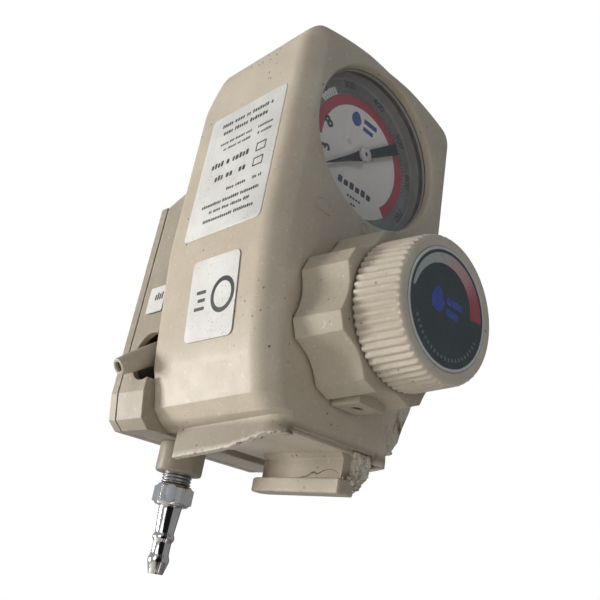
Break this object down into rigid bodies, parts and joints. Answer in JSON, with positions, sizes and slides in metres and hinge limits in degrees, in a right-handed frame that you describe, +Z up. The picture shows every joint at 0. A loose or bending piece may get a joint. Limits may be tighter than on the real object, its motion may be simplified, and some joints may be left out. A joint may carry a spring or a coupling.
{
  "type": "wall suction unit",
  "caption": "Wall-mounted suction regulator: crowned cream case, round vacuum gauge, lobed selector collar, ribbed adjusting knob, hose barb, side nipple and bottle rail.",
  "frame": {"origin": "centre of the wall plate's back face, between its four screw holes", "axes": "+X to the right seen from the front, +Y into the wall, +Z up; the gauge and knobs face -Y"},
  "size_m": [0.086, 0.1145, 0.187],
  "materials": {
    "cream_abs": "aged, finely speckled satin",
    "label_vinyl": "printed vinyl, slightly soiled",
    "plated_steel": "zinc plated",
    "clear_lens": "clear, faint scratches",
    "dial_print": "printed face",
    "black_paint": "satin black",
    "brass": "machined",
    "cast_alloy": "die cast",
    "black_rubber": "matte",
    "white_polymer": "machined polymer",
    "disc_print": "printed label",
    "hose_rubber": "translucent grey hose",
    "chrome_plate": "bright chrome plate"
  },
  "bodies": {
    "casing": {"front_cover": "cream_abs", "rear_housing": "cream_abs", "wall_plate": "cream_abs", "cover_screws": "plated_steel", "plate_screws": "plated_steel", "nameplate_label": "label_vinyl", "approval_label": "label_vinyl", "port_label": "label_vinyl", "bottle_hanger": "cream_abs", "hanger_screws": "plated_steel", "gauge_case": "plated_steel", "gauge_bezel": "black_paint", "gauge_lens": "clear_lens", "gauge_dial": "dial_print", "dial_screws": "plated_steel", "movement_plates": "brass", "hairspring": "plated_steel", "bourdon_tube": "brass", "gauge_socket": "brass", "stem_seal": "black_rubber", "valve_body": "cast_alloy", "bearing_plate": "brass", "bearing_screws": "plated_steel", "rear_valve_body": "cast_alloy", "body_screws": "plated_steel", "mount_screws": "plated_steel", "diaphragm": "black_rubber", "poppet_spring": "plated_steel", "valve_seat": "white_polymer", "valve_cap": "brass", "range_spring": "plated_steel", "rotor_seal": "black_rubber", "detent_ball": "plated_steel", "hose_fittings": "brass", "supply_hose": "hose_rubber", "outlet_hose": "hose_rubber", "side_port": "cream_abs", "outlet_boss": "cream_abs", "boss_nut": "brass", "barb_seal": "black_rubber", "hose_barb": "chrome_plate"},
    "selector": {"selector_knob": "cream_abs", "selector_set_screw": "black_paint", "selector_sleeve": "brass", "sleeve_ring": "plated_steel"},
    "adjuster": {"adjust_knob": "cream_abs", "knob_screw": "plated_steel", "knob_disc": "disc_print", "adjusting_screw": "plated_steel"},
    "seat_nut": {"spring_seat": "brass"},
    "valve_stem": {"diaphragm_plate": "plated_steel", "poppet": "brass"},
    "sector": {"sector_gear": "brass"},
    "pointer": {"gauge_pointer": "black_paint", "pinion_shaft": "brass"},
    "link": {"tip_link": "brass"}
  },
  "joints": [
    {"name": "selector_turn", "type": "hinge", "parent": "casing", "child": "selector", "pos_m": [0, -0.078, -0.0035], "axis": [0, 1, 0], "range_deg": [-45, 45]},
    {"name": "knob_turn", "type": "hinge", "parent": "casing", "child": "adjuster", "pos_m": [0, -0.078, -0.0035], "axis": [0, 1, 0], "range_deg": [0, 720]},
    {"name": "seat_slide", "type": "slide", "parent": "casing", "child": "seat_nut", "axis": [0, 1, 0], "range_m": [0, 0.004], "deforming": ["range_spring"]},
    {"name": "stem_slide", "type": "slide", "parent": "casing", "child": "valve_stem", "axis": [0, 1, 0], "range_m": [0, 0.0008], "deforming": ["poppet_spring", "diaphragm"]},
    {"name": "sector_turn", "type": "hinge", "parent": "casing", "child": "sector", "pos_m": [0, -0.078, 0.0495], "axis": [0, 1, 0], "range_deg": [-37.7, 0]},
    {"name": "pointer_turn", "type": "hinge", "parent": "casing", "child": "pointer", "pos_m": [0, -0.078, 0.0655], "axis": [0, 1, 0], "range_deg": [0, 264]},
    {"name": "link_turn", "type": "hinge", "parent": "sector", "child": "link", "pos_m": [0.00847, -0.078, 0.04801], "axis": [0, 1, 0], "range_deg": [0, 37.8]}
  ],
  "couplings": [
    {"joint": "seat_slide", "follows": "knob_turn", "m_per_rad": 0.00031831},
    {"joint": "pointer_turn", "follows": "sector_turn", "ratio": -7},
    {"joint": "link_turn", "follows": "sector_turn", "ratio": -1}
  ]
}
